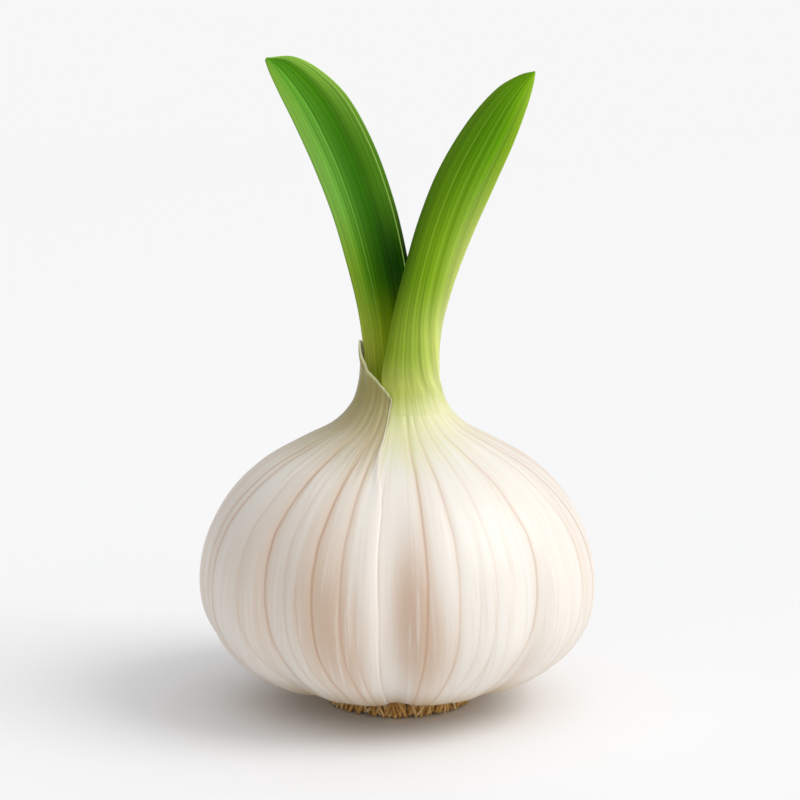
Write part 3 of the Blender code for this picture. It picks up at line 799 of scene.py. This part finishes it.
# The root plate and the roots, in millimetres and degrees.
rootPlate = {
    # radius and height up the side, from the level underside to the top
    "side": [(6.9, 0.0), (7.1, 0.35), (7.15, 1.6), (7.4, 3.0), (9.2, 3.5), (11.0, 3.7), (11.5, 4.1),
             (11.0, 4.6)],
    # the grain's waves: how many round, how they turn going up, their start and their share
    "waves": [(9, 3, 0.0, 1.0), (23, 0, 1.3, 0.7), (41, -2, 0.0, 0.5)],
    "grain": 0.12, "grainFrom": 0.1, "grainTo": 0.8, "columns": 160, "rows": 60,
}
# each strand's top shade is painted shade under the bulb's overhang
rootStrands = {
    "perRoot": 16, "outerCount": 26, "outerTop": (10.1, 11.6), "outerFoot": (9.5, 11.1),
    "innerTop": (8.0, 9.8), "innerFoot": (7.4, 9.4), "topHeight": 3.9, "footHeight": 0.2, "footScatter": 0.18,
    "radiusTop": 0.2, "radiusFoot": 0.24, "sizes": (0.7, 1.3), "scatter": 0.6, "sway": 7.2, "swayPower": 1.3,
    "bow": 0.45, "bows": (-1, 1.2), "tones": (0, 0.7), "paintedTopShade": 0.6, "sides": 5, "rings": 6, "seed": 11,
}


# Cork: the plate's dead outer tissue, dried and rubbed. It gives the eye a rough matt brown.
def corkMaterial():
    material, tree, shader = addMaterial("driedRootPlateCork", {"Specular IOR Level": 0.25})
    place = addNode(tree, "ShaderNodeTexCoord")
    coarse = addNode(tree, "ShaderNodeTexNoise", {"Scale": 900.0, "Detail": 6.0, "Roughness": 0.7},
            {"Vector": place.outputs["Object"]})
    cells = addNode(tree, "ShaderNodeTexVoronoi", {"Scale": 1400.0}, {"Vector": place.outputs["Object"]})
    both = addNode(tree, "ShaderNodeMath", {"operation": "MULTIPLY_ADD", 1: 0.4},
            {0: cells.outputs["Distance"], 2: coarse.outputs["Fac"]})
    tone = addNode(tree, "ShaderNodeValToRGB", {"stops": [(0.35, "#4c3218"), (0.6, "#86643a"),
            (0.85, "#b08c5c")]}, {"Fac": both})
    addFinish(tree, shader, tone, both, 0.75, 0.95, both, 0.6, 0.0003)
    return material


# Dried root: woody fibre cut short. It gives the eye pale straw ridges over dark brown gaps, and each strand is
# painted dark brown towards its top as shade under the bulb.
def rootMaterial():
    material, tree, shader = addMaterial("driedRootFibre", {"Specular IOR Level": 0.3})
    place = addNode(tree, "ShaderNodeTexCoord")
    kind = addNode(tree, "ShaderNodeAttribute", {"attribute_name": "strandTone"})
    tones = addNode(tree, "ShaderNodeSeparateXYZ", {}, {0: kind.outputs["Vector"]})
    grain = addNode(tree, "ShaderNodeTexNoise", {"Scale": 2500.0, "Detail": 3.0},
            {"Vector": place.outputs["Object"]})
    mixed = addNode(tree, "ShaderNodeMath", {"operation": "MULTIPLY_ADD", 1: 0.45},
            {0: grain.outputs["Fac"], 2: tones.outputs["X"]})
    tone = addNode(tree, "ShaderNodeValToRGB", {"stops": [(0.1, "#b8823e"), (0.5, "#e6b468"), (0.9, "#f8d698"),
            (1.0, "#fceac0")]}, {"Fac": mixed})
    # painted shade: dark brown towards the top of each strand, under the bulb's overhang
    top = addNode(tree, "ShaderNodeMixRGB", {"Color2": "#44260c"},
            {"Fac": tones.outputs["Y"], "Color1": tone.outputs["Color"]})
    fibre = grain.outputs["Fac"]
    addFinish(tree, shader, top, fibre, 0.6, 0.85, fibre, 0.5, 0.00005)
    return material


# The root plate: its side turned round the axis, with a level underside. Its radius is roughened by the sum
# of a few sines round and up.
def makeRootPlate(material):
    rows, columns = rootPlate["rows"], rootPlate["columns"]
    angles = np.linspace(0, 2 * math.pi, columns, endpoint=False)[None, :]
    side = smoothCurve(rootPlate["side"], np.linspace(0, 1, rows))
    radius, height = side[:, :1], side[:, 1:]
    waves = sum(share * np.sin(count * angles + climb * height + start)
            for count, climb, start, share in rootPlate["waves"])
    roughened = smoothStep(height, rootPlate["grainFrom"], rootPlate["grainTo"])
    radius = radius + rootPlate["grain"] * waves * roughened
    height = np.broadcast_to(np.clip(height, 0, None), radius.shape)
    points = np.stack([radius * np.sin(angles), -radius * np.cos(angles), height], -1)
    ends = [[0, 0, 0], [0, 0, side[-1, 1]]]
    piece = addPiece("rootPlateCork", np.vstack([points.reshape(-1, 3), ends]),
            [gridQuads(rows, columns, closed=True), *endFans(rows, columns)], material)
    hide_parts("root_plate")
    print("root plate made:", len(piece.data.polygons), "faces")


# Root strands: each is a tube that widens a little on its way from under the plate's rim to its cut end. Its
# distance from the axis runs evenly from top to foot, plus a bow of sin(pi t).
def makeStrands(name, nodes, top, foot, material, seed):
    chance = np.random.default_rng(seed)
    count = len(nodes) * rootStrands["perRoot"]
    rings, sides = rootStrands["rings"], rootStrands["sides"]
    scatter = chance.uniform(-rootStrands["scatter"], rootStrands["scatter"], count)
    angle = 2 * math.pi * (np.arange(count) + scatter) / count
    sway = np.radians(chance.normal(0, rootStrands["sway"], count))
    topRadius = chance.uniform(*top, count)
    footRadius = chance.uniform(*foot, count)
    footHeight = np.abs(chance.normal(0, rootStrands["footScatter"], count)) + rootStrands["footHeight"]
    t = np.linspace(0, 1, rings)[None, :]
    bow = rootStrands["bow"] * chance.uniform(*rootStrands["bows"], count)[:, None] * np.sin(math.pi * t)
    reach = topRadius[:, None] * (1 - t) + footRadius[:, None] * t + bow
    turn = angle[:, None] + sway[:, None] * t**rootStrands["swayPower"]
    height = rootStrands["topHeight"] * (1 - t) + footHeight[:, None] * t
    path = np.stack([reach * np.sin(turn), -reach * np.cos(turn), height], -1)
    along = unit(np.gradient(path, axis=1))
    sideways = unit(np.cross(along, [0.0, 0.0, 1.0]) + 1e-6)
    other = np.cross(along, sideways)
    size = chance.uniform(*rootStrands["sizes"], count)[:, None]
    width = size * (rootStrands["radiusTop"] * (1 - t) + rootStrands["radiusFoot"] * t)
    spin = np.linspace(0, 2 * math.pi, sides, endpoint=False)
    points = (path[:, :, None] + width[..., None, None]
            * (sideways[:, :, None] * np.cos(spin)[:, None] + other[:, :, None] * np.sin(spin)[:, None]))
    tube = gridQuads(rings, sides, closed=True)
    perStrand = rings * sides
    starts = (np.arange(count) * perStrand)[:, None, None]
    quads = (tube[None] + starts).reshape(-1, 4)
    caps = np.stack([np.arange(sides)[::-1], perStrand - sides + np.arange(sides)])[None] + starts
    toneX = np.repeat(chance.uniform(*rootStrands["tones"], count), perStrand)
    # the second tone is painted shade, strongest at the strand's top under the bulb
    toneY = np.tile(np.repeat((1 - t[0]) ** 2 * rootStrands["paintedTopShade"], sides), count)
    piece = addPiece(name, points.reshape(-1, 3), [quads, caps.reshape(-1, sides)], material)
    corners = cornerVertices(piece)
    addCornerData(piece, "strandTone", np.stack([toneX[corners], toneY[corners], 0 * toneX[corners]], -1))
    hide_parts(*nodes)
    print(name, "made:", count, "strands")


# The whole scene: the studio, and then each piece with its own material.
def main():
    bpy.context.scene.view_settings.view_transform = "Standard"
    makeCamera()
    makeLight()
    makeFloor()
    print("studio made")
    paper = {"Specular IOR Level": 0.42}
    makeBulb(garlicMaterial("paperyBulbSkin", garlicSkin, paper))
    looseTones = dict(garlicSkin, **looseSkin["tones"])
    makeLooseSkin(garlicMaterial("looseDrySkin", looseTones, paper, looseSkin["bands"]))
    wax = {"Specular IOR Level": 0.06}
    makeLeaf("darkLeaf", darkLeaf, leafMaterial("waxyLeafInside", darkBlade, wax), "left_leaf")
    makeLeaf("paleLeaf", paleLeaf, leafMaterial("waxyLeafOutside", paleBlade, wax, garlicSkin),
            "right_leaf")
    makeRootPlate(corkMaterial())
    strandMaterial = rootMaterial()
    rootNodes = sorted(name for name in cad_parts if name.startswith("root_") and name != "root_plate")
    outerNodes, innerNodes = rootNodes[:rootStrands["outerCount"]], rootNodes[rootStrands["outerCount"]:]
    makeStrands("outerRootFringe", outerNodes, rootStrands["outerTop"], rootStrands["outerFoot"],
            strandMaterial, rootStrands["seed"])
    makeStrands("innerRootFringe", innerNodes, rootStrands["innerTop"], rootStrands["innerFoot"],
            strandMaterial, rootStrands["seed"] + 1)


main()
